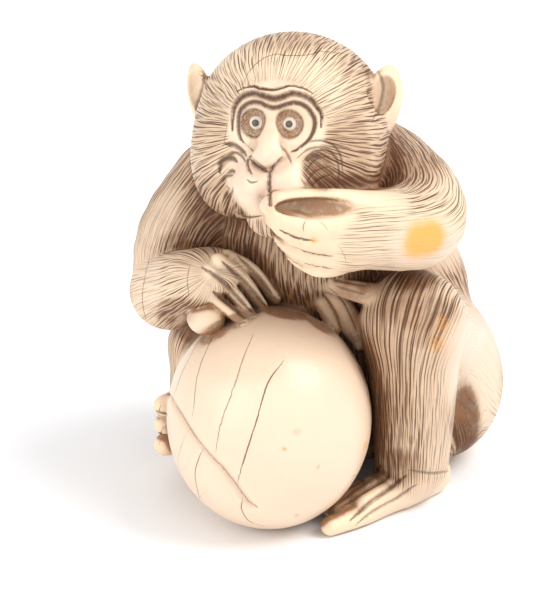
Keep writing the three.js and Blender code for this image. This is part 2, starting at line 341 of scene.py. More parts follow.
def right_leg():
    toe_heights, toe_rise = (6.6, 4.9, 3.0), 1.4
    return [
        Form("right_leg", ball([-5.2, 9.3, 6.0], [6.3, 6.2, 6.4]), 1.6),
        Form("right_leg", limb([-4.6, 8.3, 7.1, 4.8], RIGHT_KNEE), 1.2),
        Form("right_leg", limb(RIGHT_KNEE, RIGHT_ANKLE), 0.9),
        Form("right_foot", limb([-10.0, 3.8, 2.7, 2.3], [-11.1, 0.3, 5.0, 1.9]), 0.6),
        *[Form("right_foot", limb([-11.1, 1.8, z, 1.0], [-12.7, -1.7, z + toe_rise, 0.95]), 0.25)
          for z in toe_heights],
    ]


RIGHT_FINGERS = (
    ([-9.4, -7.3, 21.5], [-8.0, -7.0, 19.9], [-6.2, -7.3, 18.5]),
    ([-8.8, -7.5, 23.0], [-7.1, -6.5, 20.9], [-5.6, -6.5, 18.6]),
    ([-8.1, -7.1, 23.8], [-6.2, -5.9, 21.7], [-4.6, -4.8, 18.6]),
    ([-7.4, -6.0, 23.6], [-5.3, -4.7, 21.8], [-3.5, -3.4, 18.7]),
)
RIGHT_FINGER_RADII = (0.66, 0.55, 0.52)

LEFT_FINGERS = (
    (0.85, ([2.3, -10.9, 29.3], [-0.8, -11.9, 29.0], [-4.1, -11.0, 30.5])),
    (0.70, ([1.9, -11.1, 27.6], [-1.0, -12.2, 27.8], [-3.8, -10.9, 29.2])),
    (0.60, ([1.7, -10.6, 26.0], [-0.8, -11.9, 26.4], [-3.1, -10.6, 27.3])),
    (0.55, ([1.7, -9.9, 24.5], [-0.1, -11.2, 25.0], [-2.1, -10.0, 25.6])),
)
LEFT_TIP_TAPER = 0.8


def right_arm():
    fingers = [limb(*with_radii(joints, RIGHT_FINGER_RADII)) for joints in RIGHT_FINGERS]
    upper = limb([-8.0, 3.8, 25.3, 4.4], [-11.2, 1.7, 22.0, 3.8], [-12.1, -0.2, 18.2, 3.3])
    return [
        Form("right_upper_arm", upper, 1.6),
        Form("right_forearm", limb([-12.3, -1.2, 18.4, 3.3], [-10.2, -5.7, 21.5, 2.5]), 0.35),
        Form("right_forearm", ball([-8.7, -5.9, 22.3], [2.4, 2.1, 2.0]), 0.6),
        *[Form("right_hand", finger, 0.25) for finger in fingers],
        Form("right_hand", ball([-9.2, -6.7, 18.5], [1.6, 1.5, 1.5]), 0.2),
    ]


def left_arm():
    arm = limb([6.0, 3.8, 26.4, 4.2], [8.4, -1.7, 26.7, 3.7], [8.0, -5.5, 26.3, 3.7],
               [3.1, -9.1, 27.4, 3.1])
    fingers = [limb(*with_radii(joints, (size, size, size * LEFT_TIP_TAPER)))
               for size, joints in LEFT_FINGERS]
    thumb = limb([6.0, -8.2, 28.6, 1.6], [3.4, -9.6, 30.2, 1.0], [0.0, -10.4, 31.1, 0.65],
                 [-3.5, -10.7, 31.0, 0.55])
    return [
        Form("left_arm", arm, 1.2),
        Form("left_hand", ball([0.4, -10.1, 27.3], [3.2, 2.0, 2.8]), 2.0),
        *[Form("left_hand", finger, 0.7, 0.5) for finger in fingers],
        Form("left_hand", thumb, 0.9),
    ]


def hand_hollow():
    return Form("left_hand", ball([-0.1, -11.5, 30.6], [3.4, 1.1, 0.72]), 0.3)


def skull_and_face():
    brow = limb([-3.2, -6.3, 2.2, 1], [-1.4, -7.1, 3, 1], [0, -7.2, 2.7, 0.9], [1.4, -7.1, 3, 1],
                [3.2, -6.3, 2.2, 1])
    lips = ball([-1.3, -6.7, -4.4], [2.0, 2.1, 2.1]) + ball([1.3, -6.7, -4.4], [2.0, 2.1, 2.1])
    return [
        head_form(ball([0, 0, 0], HEAD_RADII), 1.0),
        head_form(ball([-4.2, -2.2, -3.2], [3.6, 4.4, 4.4]), 2.0),
        head_form(ball([3.9, -2.2, -3.2], [3.6, 4.4, 4.4]), 2.0),
        head_form(brow, 0.8),
        head_form(ball([0, -5.6, -4.6], [3.5, 3.2, 3.0]), 1.2),
        head_form(lips, 0.6, 0.6),
        head_form(ball([-0.3, -5.2, -7.3], [2.2, 2.3, 1.6]), 0.8),
    ]


def eyes_and_nose(clay):
    for side in SIDES:
        clay.cut(head_form(ball([side * 1.45, -8.0, EYE_LEVEL], [1.25, 1.05, 1.25]), 0.3))
        clay.add(head_form(ball([side * EYE_SPREAD, -6.8, EYE_LEVEL], [0.62] * 3), 0.08))
    bridge = limb([0.05, -7.1, 1.4, 0.55], [0, -7.9, -0.9, 0.8], [-0.05, -8.3, -1.95, 0.85])
    wings = ball([-0.85, -7.85, -1.75], [0.75, 0.85, 0.6]) + ball([0.7, -7.85, -1.6], [0.75, 0.85, 0.6])
    clay.add(head_form(bridge + wings, 0.5, 0.5))


EAR_ROOTS = {-1: (-7.9, 0.3, 2.0), 1: (7.6, 0.2, 2.1)}
EAR_RADII = {-1: (0.95, 1.9, 2.9), 1: (1.25, 1.9, 3.1)}
EAR_HOLLOW_RADII = (0.7, 1.5, 1.7)
EAR_LEAN = {side: (0, side * 12, -side * 30) for side in SIDES}  # degrees


def ear_shell(side):
    return head_form(ball(EAR_ROOTS[side], EAR_RADII[side], EAR_LEAN[side]), 0.5, coat="ear")


def ear_hollow(side):
    x, y, z = EAR_ROOTS[side]
    middle = [x + side * 0.1, y - 1.5, z + 0.6]
    return head_form(ball(middle, EAR_HOLLOW_RADII, EAR_LEAN[side]), 0.3, coat="ear")


def peach_and_leaf():
    leaf = ball([2.3, -2.8, 16.9], [1.1, 0.9, 3.2], (0, -28, 0))
    return [
        Form("peach_bed", ball([-4.3, -2.7, 8.7], [8.0, 7.5, 7.9]), 1.0),
        Form("peach", ball(PEACH_MIDDLE, PEACH_RADII), 0.12),
        Form("leaf", limb([-0.2, -2.3, 18.9, 0.6], [1.4, -3.5, 16.0, 0.6]), 0.2),
        Form("leaf", leaf, 0.3),
        Form("leaf", limb([1.2, -2.3, 19.4, 0.5], [2.4, -2.7, 17.1, 0.6], [3.5, -3.1, 14.3, 0.5]), 0.2),
        Form("leaf", limb([0.0, -3.0, 20.0, 0.5], [2.3, -3.9, 19.8, 0.8], [4.9, -4.7, 19.5, 1.0]), 0.3),
    ]


def cord_tunnel():
    height, radius = 13.0, 1.3
    stations = [(-3.0, 16.0), (-2.0, 12.0), (0.5, 10.0), (3.0, 12.0), (4.0, 16.0)]
    return Form("trunk", limb(*[[x, y, height, radius] for x, y in stations]), 0.3)


def sculpt():
    """The whole work in clay, and the forms that say which coat is where."""
    clay = Clay((-16.6, -16.6, -0.8), (16.6, 16.6, 42.0), CLAY_PITCH)
    forms = [*trunk(), *left_leg(), *right_leg(), *right_arm(), *skull_and_face()]
    for form in forms:
        clay.add(form)
    eyes_and_nose(clay)
    ears = [ear_shell(side) for side in SIDES]
    for side, shell in zip(SIDES, ears):
        clay.add(shell)
        clay.cut(ear_hollow(side))
    arm, fruit = left_arm(), peach_and_leaf()
    for form in arm:
        clay.add(form)
    clay.cut(hand_hollow())
    for form in fruit:
        clay.add(form)
    clay.cut(Form("left_leg", ball(HAM_HOLLOW, HAM_HOLLOW_RADII), 0.8))
    clay.cut(cord_tunnel())
    clay.cut_flat()
    return clay, [*forms, *ears, *arm, *fruit]


# ---- the main view's plane ----
# Marks are laid out as seen in the main view, x across and h up the picture's plane, and
# are dropped along the line of sight onto the clay.

SLOPE = math.radians(LOOK_ELEVATION)
SIGHT = vec(0, math.cos(SLOPE), -math.sin(SLOPE))
SIGHT_UP = vec(0, math.sin(SLOPE), math.cos(SLOPE))
LAYOUT_FRONT = vec(0, -6.77, 0)
SIGHT_SPAN, SIGHT_STEP = 34.0, 0.1  # how far along the sight the clay is sought


def lay_on(clay, places):
    """Where points of the main view's plane meet the clay."""
    ways = np.arange(-SIGHT_SPAN, SIGHT_SPAN, SIGHT_STEP)
    start = LAYOUT_FRONT + places[:, :1] * vec(1, 0, 0) + places[:, 1:2] * SIGHT_UP
    rays = start[:, None, :] + ways[None, :, None] * SIGHT
    inside = clay.at(rays.reshape(-1, 3)).reshape(rays.shape[:2]) < 0
    first = np.argmax(inside, 1)
    return rays[np.arange(len(rays)), first]


def seen_at(points):
    """The place of each point in the main view's plane."""
    return np.stack([points[:, 0], (points - LAYOUT_FRONT) @ SIGHT_UP], -1)


LINE_TIP, TIP_SHARE = 0.35, 0.2  # width left at the tips, and how long a tip is
END_FADE = 0.2  # how soon the dark ends past a tip
GROOVE_ROUND = 0.62  # a groove's round bottom to its width


class Line:
    """A carved line, a crease or a crack."""

    def __init__(self, places, width, depth, dark, taper=True):
        self.places = smooth_line([[x, h, 0, 0] for x, h in places], LINE_STEPS)[:, :2]
        self.width, self.depth, self.dark, self.taper = width, depth, dark, taper

    def drop(self, clay):
        self.points = lay_on(clay, self.places)
        share = np.linspace(0, 1, len(self.points))
        ends = np.clip(np.minimum(share, 1 - share) / TIP_SHARE, 0, 1) if self.taper else 1 + 0 * share
        self.widths = self.width * (LINE_TIP + (1 - LINE_TIP) * ends)

    def nearest(self, points, normals, reach):
        """Vertices near the line: their numbers, signed distances, widths and darkness."""
        low, high = self.points.min(0) - reach, self.points.max(0) + reach
        near = np.nonzero(((points > low) & (points < high)).all(1))[0]
        p = points[near]
        best = np.full(len(near), 1e9)
        side = np.ones(len(near))
        width = np.full(len(near), self.width)
        past = np.zeros(len(near), bool)
        last = len(self.points) - 2
        for i in range(last + 1):
            a, b = self.points[i], self.points[i + 1]
            along = b - a
            long = max(float(along @ along), 1e-9)
            t = (p - a) @ along / long
            held = np.clip(t, 0, 1)
            away = p - (a + held[:, None] * along)
            gap = np.linalg.norm(away, axis=1)
            take = gap < best
            turn = np.einsum("ij,ij->i", np.cross(along, away), normals[near])
            best = np.where(take, gap, best)
            side = np.where(take, np.sign(turn), side)
            here = self.widths[i] + (self.widths[i + 1] - self.widths[i]) * held
            width = np.where(take, here, width)
            beyond = ((i == 0) & (t < 0)) | ((i == last) & (t > 1))
            past = np.where(take, beyond, past)
        close = best < reach
        dark = self.dark * np.where(past, np.clip(1 - best / END_FADE, 0, 1), 1)
        return near[close], (best * side)[close], width[close], dark[close]


# ---- carved lines ----

def face_lines():
    """Around the brow, eyes, nose, mouth, cheeks and ears."""
    brow = [(-6.6, 35.3), (-6.1, 35.6), (-5.3, 35.7), (-4.7, 35.5), (-3.9, 35.4), (-3.2, 35.5),
            (-2.3, 35.75), (-1.7, 35.7), (-1.0, 35.45), (-0.4, 35.1)]
    fold = [(-7.0, 32.1), (-7.0, 33.1), (-6.85, 34.0), (-6.4, 34.7), (-5.9, 35.0), (-5.25, 35.1),
            (-4.5, 34.9), (-3.6, 34.65), (-2.9, 34.8), (-2.1, 35.1), (-1.3, 34.95), (-0.6, 34.6),
            (-0.1, 34.0), (0.3, 33.3), (0.25, 32.3)]
    rings = [(-5.3, 30.4), (-5.9, 30.8), (-6.35, 31.45), (-6.5, 32.1), (-6.45, 33.4), (-6.1, 34.0),
             (-5.4, 34.35), (-4.7, 34.3), (-4.1, 34.0), (-3.5, 33.9), (-2.9, 34.05), (-1.9, 34.3),
             (-1.0, 34.0), (-0.5, 33.4), (-0.25, 32.8), (-0.4, 31.95), (-0.85, 31.2), (-1.7, 30.5),
             (-2.2, 30.3)]
    cheek = [(-1.7, 29.8), (-1.0, 30.4), (-0.3, 30.65), (0.6, 30.6), (1.4, 29.9), (1.7, 28.9),
             (1.6, 27.4)]
    return [
        Line(brow, 0.34, 0.14, 1.0),
        Line(fold, 0.56, 0.2, 1.0),
        Line(rings, 0.42, 0.14, 0.95),
        Line([(-5.5, 29.7), (-5.1, 29.3), (-4.5, 28.95), (-4.0, 28.65)], 0.34, 0.22, 1.0),
        Line([(-2.95, 29.85), (-3.25, 29.45), (-3.7, 29.0), (-3.95, 28.65)], 0.3, 0.2, 0.95),
        Line([(-3.95, 28.8), (-4.0, 27.4), (-3.9, 25.9)], 0.34, 0.22, 0.95, taper=False),
        Line([(-5.4, 30.1), (-5.75, 29.6), (-5.7, 29.0), (-5.4, 28.5)], 0.24, 0.14, 0.85),
        Line([(-3.05, 30.8), (-2.6, 30.3), (-2.35, 29.8), (-2.2, 29.4)], 0.22, 0.12, 0.6),
        Line([(-7.6, 31.0), (-6.9, 30.9), (-6.3, 30.5), (-5.85, 30.0)], 0.42, 0.16, 0.85),
        Line([(-8.05, 28.6), (-8.0, 29.4), (-7.6, 29.8), (-7.0, 29.8), (-6.6, 29.5)], 0.45, 0.16, 0.85),
        Line([(-7.4, 28.6), (-7.0, 28.8), (-6.8, 28.6)], 0.3, 0.12, 0.8),
        Line([(-7.45, 27.5), (-7.1, 27.1)], 0.35, 0.12, 0.75),
        Line([(-5.8, 28.05), (-5.4, 27.8), (-4.9, 27.9)], 0.16, 0.1, 0.7),
        Line(cheek, 0.2, 0.12, 0.6),
        Line([(-6.8, 25.5), (-5.8, 25.0), (-4.6, 25.1)], 0.2, 0.12, 0.85),
        Line([(-1.0, 29.6), (-0.4, 30.0), (0.3, 29.9)], 0.5, 0.08, 0.75),
        Line([(-9.15, 37.3), (-9.6, 35.6), (-9.95, 34.2), (-10.15, 33.2)], 0.34, 0.1, 0.65),
        Line([(4.85, 37.2), (5.37, 35.8), (5.06, 34.1), (4.4, 32.8)], 0.3, 0.1, 0.5),
        Line([(-7.65, 29.84), (-6.94, 30.26), (-6.3, 30.07), (-5.91, 29.52)], 0.26, 0.1, 0.75),
        Line([(-7.84, 27.91), (-7.52, 28.33), (-6.94, 28.46)], 0.26, 0.1, 0.75),
        Line([(-7.42, 26.47), (-7.1, 26.96), (-6.94, 27.44)], 0.22, 0.1, 0.7),
        Line([(-1.24, 29.52), (-0.37, 30.32), (0.59, 30.48)], 0.2, 0.08, 0.7),
        Line([(-1.01, 28.72), (-0.21, 29.68), (0.91, 29.94)], 0.18, 0.08, 0.65),
        Line([(-0.85, 27.92), (-0.21, 28.72), (1.07, 29.2)], 0.18, 0.08, 0.65),
        Line([(-0.53, 27.44), (0.11, 28.08), (1.23, 28.56)], 0.18, 0.08, 0.6),
        Line([(-1.97, 30.32), (-0.85, 31.12), (0.76, 31.12), (1.78, 30.16), (2.03, 28.4)],
             0.2, 0.08, 0.6),
    ]


def hand_lines():
    """Between the fingers, over the knuckles and at the wrists."""
    return [
        Line([(-3.1, 23.9), (-1.8, 23.3), (-0.3, 23.0)], 0.2, 0.16, 0.85),
        Line([(-2.4, 22.7), (-0.6, 22.0), (1.1, 21.8)], 0.17, 0.14, 0.75),
        Line([(-1.8, 21.5), (-0.4, 21.0), (1.2, 20.8)], 0.14, 0.12, 0.7),
        Line([(-3.9, 23.4), (-2.6, 21.8), (-1.2, 20.9)], 0.12, 0.1, 0.6),
        Line([(-1.0, 24.7), (-1.2, 24.3), (-1.2, 23.8)], 0.08, 0.05, 0.7),
        Line([(0.1, 24.6), (0.5, 24.3), (0.8, 23.9)], 0.07, 0.04, 0.5),
        Line([(1.6, 22.7), (2.1, 22.0), (2.3, 21.3)], 0.07, 0.04, 0.4),
        Line([(-13.9, 21.7), (-14.3, 20.0), (-14.5, 18.2), (-14.2, 16.6)], 0.1, 0.08, 0.6),
        Line([(-10.5, 21.1), (-10.7, 19.9), (-10.6, 18.6)], 0.1, 0.06, 0.5),
        Line([(-8.6, 18.9), (-7.4, 17.95), (-5.9, 16.7)], 0.42, 0.15, 0.75),
        Line([(-9.5, 20.9), (-7.9, 19.8), (-6.6, 18.45), (-5.3, 17.2)], 0.4, 0.15, 0.75),
        Line([(-7.9, 21.4), (-6.4, 20.1), (-5.3, 18.9), (-4.2, 17.7)], 0.4, 0.15, 0.75),
        Line([(-6.6, 21.9), (-5.1, 20.4), (-3.8, 18.8)], 0.35, 0.1, 0.7),
        Line([(7.4, 3.6), (6.0, 2.5), (4.4, 1.4), (2.7, -0.1)], 0.36, 0.22, 0.7),
        Line([(6.0, 3.6), (4.9, 2.9), (3.4, 2.0), (1.9, 1.0)], 0.36, 0.22, 0.65),
        Line([(2.9, 1.2), (3.6, 0.7)], 0.14, 0.08, 0.5),
        Line([(7.6, 4.1), (9.4, 3.8), (11.0, 3.9)], 0.3, 0.12, 0.45),
        Line([(8.3, 2.9), (6.6, 1.7), (4.6, 0.6), (3.2, -0.5)], 0.3, 0.16, 0.55),
        Line([(5.4, 4.5), (4.0, 3.4), (2.6, 2.5)], 0.3, 0.14, 0.6),
        Line([(0.5, 18.7), (1.4, 17.3), (2.0, 15.9)], 0.3, 0.1, 0.7),
        Line([(0.9, 19.3), (2.2, 18.0), (3.3, 15.6)], 0.16, 0.08, 0.6),
        Line([(-13.6, 8.9), (-13.0, 8.8), (-12.4, 8.7)], 0.26, 0.12, 0.7),
        Line([(-13.6, 7.1), (-13.0, 7.0), (-12.4, 6.9)], 0.26, 0.12, 0.7),
        Line([(1.0, 20.0), (2.4, 19.7), (4.1, 19.4)], 0.26, 0.12, 0.55),
        Line([(1.5, 19.4), (2.8, 19.0), (3.9, 18.7)], 0.22, 0.1, 0.5),
    ]


def age_cracks():
    """Natural cracks in the fruit, over the brow and in the cheek."""
    over_brow = [(-6.2, 35.7), (-5.6, 36.95), (-4.6, 37.9), (-3.5, 38.35), (-2.3, 38.2), (-0.6, 38.35),
                 (0.25, 38.6), (2.3, 38.45)]
    return [
        Line([(-9.6, 15.2), (-11.0, 12.6), (-11.9, 10.2)], 0.1, 0.05, 0.7),
        Line([(-8.5, 15.6), (-9.8, 12.4), (-10.3, 8.6)], 0.1, 0.05, 0.6),
        Line([(-5.3, 15.4), (-6.2, 13.2), (-7.0, 10.7), (-7.9, 8.2), (-8.4, 5.7)], 0.1, 0.05, 0.65),
        Line([(-2.8, 13.2), (-4.1, 11.4), (-5.0, 8.4), (-5.9, 5.6), (-6.7, 2.9)], 0.12, 0.06, 0.85),
        Line([(-10.7, 7.6), (-11.5, 5.3), (-11.4, 3.9)], 0.08, 0.04, 0.35),
        Line([(-9.5, 5.95), (-10.1, 3.9), (-9.7, 1.5)], 0.1, 0.05, 0.7),
        Line([(-6.2, 1.9), (-6.25, 0.9), (-5.6, -0.1), (-4.4, -0.5)], 0.11, 0.05, 0.7),
        Line(over_brow, 0.1, 0.05, 0.75),
        Line([(-7.3, 33.2), (-7.6, 31.6), (-7.75, 30.7)], 0.09, 0.04, 0.5),
    ]


def peach_cleft():
    """The fruit's cleft: a fine dark line in a wide soft groove."""
    cleft = [(-12.4, 10.5), (-11.26, 8.62), (-9.59, 6.12), (-7.84, 4.28), (-6.09, 1.95), (-5.6, 1.35),
             (-5.0, 1.1)]
    return [Line(cleft, 0.2, 0.16, 0.75), Line(cleft, 0.8, 0.25, 0.05)]


CHANNELS = ("cut_a", "cut_b", "cut_c", "cut_d", "cut_e")
CHANNEL_GAP = 1.5


def share_channels(lines):
    """Puts the lines into channels, so that no two in one channel come close."""
    channels = [[] for _ in CHANNELS]
    for line in lines:
        gaps = []
        for channel in channels:
            ways = [line.points[:, None] - other.points[None] for other in channel]
            gaps.append(min((np.linalg.norm(way, axis=2).min() for way in ways), default=99))
        free = [i for i, gap in enumerate(gaps) if gap > CHANNEL_GAP]
        pick = free[0] if free else int(np.argmax(gaps))
        channels[pick].append(line)
    return channels


CUT_REACH, MARK_REACH = 0.8, 1.0  # how far from a line the skin sinks, and knows of it
NO_LINE = (9.0, 0.0, 0.1)  # gap, darkness and width where no line is near


def cut_lines(points, normals, lines):
    """How far each vertex sinks for the carved lines."""
    sink = np.zeros(len(points))
    for line in lines:
        near, gap, width, dark = line.nearest(points, normals, CUT_REACH)
        strength = np.clip(dark / line.dark, 0, 1)
        groove = line.depth * strength * np.exp(-(gap / (GROOVE_ROUND * width)) ** 2)
        sink[near] = np.maximum(sink[near], groove)
    return sink


# ---- the coat's flow ----

FLOW_PITCH = 0.4  # between the places that carry a limb's direction
FLOW_FADE = 0.5  # how softly one place hands over to the next
BATCH = 20000  # vertices that are combed at once


def walk(stations):
    """Places every so often along a line, their distance along it and its direction there."""
    fine = smooth_line([[*xyz, 0] for xyz in stations], FLOW_STEPS)[:, :3]
    lengths = np.concatenate([[0], np.cumsum(np.linalg.norm(np.diff(fine, axis=0), axis=1))])
    along = np.arange(0, lengths[-1], FLOW_PITCH)
    middle = np.stack([np.interp(along, lengths, fine[:, i]) for i in range(3)], -1)
    return middle, along, unit(np.gradient(middle, axis=0))


def limb_flow(points, stations, seam, wide):
    """(across, along) of each point in the coat of a limb, whose seam faces this way."""
    middle, along, ahead = walk(stations)
    first = []
    side = np.array(seam, float)
    for direction in ahead:
        side = side - (side @ direction) * direction
        side = side / max(np.linalg.norm(side), 1e-6)
        first.append(side)
    first = np.array(first)
    second = np.cross(ahead, first)
    out = np.empty((len(points), 2))
    for start in range(0, len(points), BATCH):
        p = points[start:start + BATCH]
        gap = np.linalg.norm(p[:, None] - middle[None], axis=2)
        share = np.exp(-(gap - gap.min(1, keepdims=True)) / FLOW_FADE)
        share /= share.sum(1, keepdims=True)
        away = p - share @ middle
        angle = np.arctan2((away * (share @ second)).sum(1), -(away * (share @ first)).sum(1))
        out[start:start + BATCH] = np.stack([angle * wide, share @ along], -1)
    return out


HEAD_FUR_WIDE, HEAD_FUR_LONG = 6.4, 8.0  # millimetres to a radian, around and back


def head_flow(points):
    """The head's coat runs out from the middle of the face, its seam under the chin."""
    q = to_head(points) - vec(0.2, 0, 0.4)
    around = np.arctan2(q[:, 0], q[:, 2])
    back = np.arctan2(np.hypot(q[:, 0], q[:, 2]), -q[:, 1])
    return np.stack([around * HEAD_FUR_WIDE, back * HEAD_FUR_LONG], -1)


THIGH_LINE = [(14.0, 8.0, 7.0), (12.0, 4.5, 12.0), (9.4, -1.0, 15.6), (8.1, -4.2, 14.4),
              (8.0, -4.5, 10.5), (7.9, -3.7, 3.7)]
RIGHT_LEG_LINE = [(-5.2, 9.3, 5.0), (-4.6, 8.3, 8.0), (-8.8, 3.0, 10.5), (-10.0, 3.3, 3.5)]
UPPER_ARM_LINE = [(-6.0, 5.0, 28.0), (-8.0, 3.8, 25.3), (-10.8, 1.8, 22.1), (-12.1, -0.2, 18.2),
                  (-12.2, -0.6, 15.5)]
FOREARM_LINE = [(-12.6, 0.0, 17.4), (-12.3, -1.2, 18.4), (-10.2, -5.7, 21.5), (-9.0, -7.5, 22.8)]
LEFT_ARM_LINE = [(3.5, 6.5, 27.5), (6.2, 3.8, 27.0), (8.0, -1.7, 26.9), (8.0, -5.5, 26.3),
                 (3.1, -9.1, 27.4), (0.0, -10.0, 27.6)]
BACK_LINE = [(1.0, 6.0, 0.0), (1.0, 6.3, 9.2), (-0.2, 6.0, 18.0), (-0.6, 4.2, 26.0), (-1.0, 2.5, 32.0)]

COAT_FLOW = {
    "trunk": ("fur_a", lambda p: limb_flow(p, BACK_LINE, (0, -1, 0), 8.0)),
    "right_forearm": ("fur_a", lambda p: limb_flow(p, FOREARM_LINE, (1, 1, 0), 2.8)),
    "left_leg": ("fur_b", lambda p: limb_flow(p, THIGH_LINE, (-1, 1, 0), 4.2)),
    "right_leg": ("fur_b", lambda p: limb_flow(p, RIGHT_LEG_LINE, (1, -1, 0), 3.6)),
    "right_upper_arm": ("fur_b", lambda p: limb_flow(p, UPPER_ARM_LINE, (1, 0, 0), 3.8)),
    "left_arm": ("fur_b", lambda p: limb_flow(p, LEFT_ARM_LINE, (0, 0, 1), 3.6)),
    "head": ("fur_b", head_flow),
}
FUR_SETS = ("fur_a", "fur_b")
COAT_FADE = 0.5  # how softly one coat hands over to the next


def ease(low, high, x):
    """0 below low, 1 above high, and smooth between."""
    t = np.clip((x - low) / (high - low), 0, 1)
    return t * t * (3 - 2 * t)


def coat_distances(points, forms):
    """For each coat, how far each point is from its forms."""
    gaps = {}
    for form in forms:
        gap = form.distance(points[:, 0], points[:, 1], points[:, 2])
        gaps[form.coat] = np.minimum(gaps[form.coat], gap) if form.coat in gaps else gap
    return gaps


def bare_face(points):
    """1 on the hairless face, 0 in the coat."""
    q = to_head(points)
    eyes = np.hypot((q[:, 0] - 0.25) / 4.15, (q[:, 2] - 0.4) / 3.9)
    muzzle = np.hypot((q[:, 0] - 0.1) / 4.1, (q[:, 2] + 4.0) / 3.3)
    bare = np.maximum(1 - ease(0.9, 1.05, eyes), 1 - ease(0.9, 1.08, muzzle))
    cheek = np.hypot((q[:, 0] - 4.0) / 1.5, (q[:, 2] + 3.1) / 1.7)
    return bare * (q[:, 1] < -1) * ease(0.75, 1.15, cheek)


def comb(points, forms):
    """The fur attributes: across, along and weight of the strokes, in two overlapping sets."""
    gaps = coat_distances(points, forms)
    sets = {}
    for name in FUR_SETS:
        mine = [coat for coat in COAT_FLOW if COAT_FLOW[coat][0] == name]
        flow = np.zeros((len(points), 3))
        for coat in mine:
            own = gaps[coat]
            same = np.min([gaps[c] for c in mine if c != coat], 0)
            rest = np.min([gaps[c] for c in gaps if c != coat and c not in mine], 0)
            weight = np.minimum(ease(0, COAT_FADE, same - own), ease(-COAT_FADE, COAT_FADE, rest - own))
            if coat == "head":
                weight = weight * (1 - bare_face(points))
            here = np.nonzero(own <= same)[0]
            flow[here, :2] = COAT_FLOW[coat][1](points[here])
            flow[here, 2] = weight[here]
        sets[name] = flow
    return sets, gaps


# ---- stains and wear ----

FEELERS = ((0.35, 0.25), (0.8, 0.3), (1.6, 0.25), (2.9, 0.2))  # reach and share of the whole
BLOT_EDGE, FACING_EDGE = (0.65, 1.25), (-0.1, 0.25)


def hollows(clay, points, normals):
    """0 on open ground, 1 deep in a hollow."""
    total = np.zeros(len(points))
    for reach, share in FEELERS:
        total += share * np.clip(1 - clay.at(points + normals * reach) / reach, 0, 1)
    return total


# Stained places of the main view: x, h, half width, half height, lean in degrees, strength.
STAINS = (
    (-0.2, 25.7, 3.3, 0.75, -2, 0.75),  # the hollow of the cupped hand
    (0.1, 28.8, 1.5, 1.9, 20, 0.75),  # stroked shadow on its left cheek
    (-5.3, 31.0, 0.4, 0.9, -12, 0.45), (-2.85, 31.0, 0.35, 0.9, 12, 0.5),
    (-5.3, 24.0, 1.6, 0.9, 30, 0.35), (-3.1, 33.6, 3.8, 2.3, 0, 0.2), (-3.2, 34.5, 3.2, 0.5, 0, 0.35),
    (12.4, 8.2, 1.3, 3.2, 0, 1.0), (12.8, 5.0, 1.6, 1.3, 0, 0.8),  # between its left shin and the seat
    (-6.6, 16.75, 3.3, 0.5, 22, 0.85),  # where the fingers meet the fruit
    (-2.6, 17.1, 2.3, 0.5, -10, 0.85), (0.2, 16.1, 1.7, 0.4, -32, 0.8),
    (3.4, 19.0, 2.2, 0.9, 0, 0.5), (3.9, 19.3, 0.7, 0.7, 0, 0.7),
    (-4.5, 14.0, 6.5, 2.6, 8, 0.14),  # the fruit's shoulder
    (-4.5, 21.2, 2.5, 3.0, 0, 0.15),  # the chest
    (-3.9, 26.8, 0.7, 1.8, 0, 0.3), (-5.0, 28.6, 1.0, 0.5, 0, 0.2), (-1.0, 22.6, 2.2, 1.6, -20, 0.15),
    (4.6, 3.6, 2.8, 0.9, 35, 0.4), (6.0, 5.0, 1.8, 1.0, 0, 0.5), (8.4, 17.2, 3.2, 1.5, 0, 0.45),
    (-9.6, 22.9, 3.6, 0.9, -6, 0.5), (-6.6, 23.2, 1.2, 1.4, 0, 0.4),
    (-11.5, 17.2, 1.8, 1.2, 0, 0.45),  # under the forearm
    (-1.7, 7.4, 0.35, 0.3, 0, 0.3), (-2.8, 6.0, 0.2, 0.2, 0, 0.45), (0.1, 4.5, 0.12, 0.2, 0, 0.5),
    (-1.7, 0.4, 0.2, 0.2, 0, 0.4), (9.9, 14.5, 0.4, 0.7, 0, 0.3), (7.8, 6.6, 0.3, 0.4, 0, 0.35),
)
# Amber spots in the same plane: x, h, reach, strength.
RUST_SPOTS = (
    (-0.35, 23.1, 0.45, 1.0), (3.9, 6.1, 0.7, 1.0), (-2.7, 6.0, 0.2, 1.0), (9.9, 14.6, 1.2, 0.42),
    (10.3, 16.2, 1.0, 0.34),
)
# Places where the coat is browner, laid out as the stains are. Those at its left shoulder behind the
# ear and towards the middle of its right upper arm are partly painted shade.
SHADES = (
    (8.0, 16.6, 3.8, 2.6, 0, 0.95), (6.0, 12.5, 2.2, 7.5, 0, 0.8), (6.5, 4.6, 2.4, 1.6, 0, 0.7),
    (2.6, 30.2, 2.1, 4.0, 0, 0.8), (-2.2, 40.0, 5.0, 1.5, 0, 0.5), (3.5, 38.4, 2.2, 2.6, 0, 0.5),
    (-9.3, 33.0, 1.9, 4.5, 0, 0.35), (4.3, 34.0, 2.2, 4.2, 0, 0.45), (9.4, 11.5, 2.6, 6.0, 0, 0.35),
    (7.6, 30.2, 3.4, 2.6, -20, 0.9), (12.6, 8.2, 1.2, 3.2, 0, 1.0),
    (-11.2, 26.5, 4.0, 4.5, 0, 0.4), (-9.0, 25.4, 2.4, 3.6, 0, 0.8), (-11.5, 17.3, 2.4, 1.2, 0, 0.8),
    (-9.0, 21.3, 3.5, 1.0, -8, 0.5), (1.0, 16.5, 2.4, 2.6, 0, 0.6), (3.4, 19.2, 2.2, 1.0, 0, 0.6),
    (-13.0, 9.0, 1.2, 3.0, 0, 0.5),
)
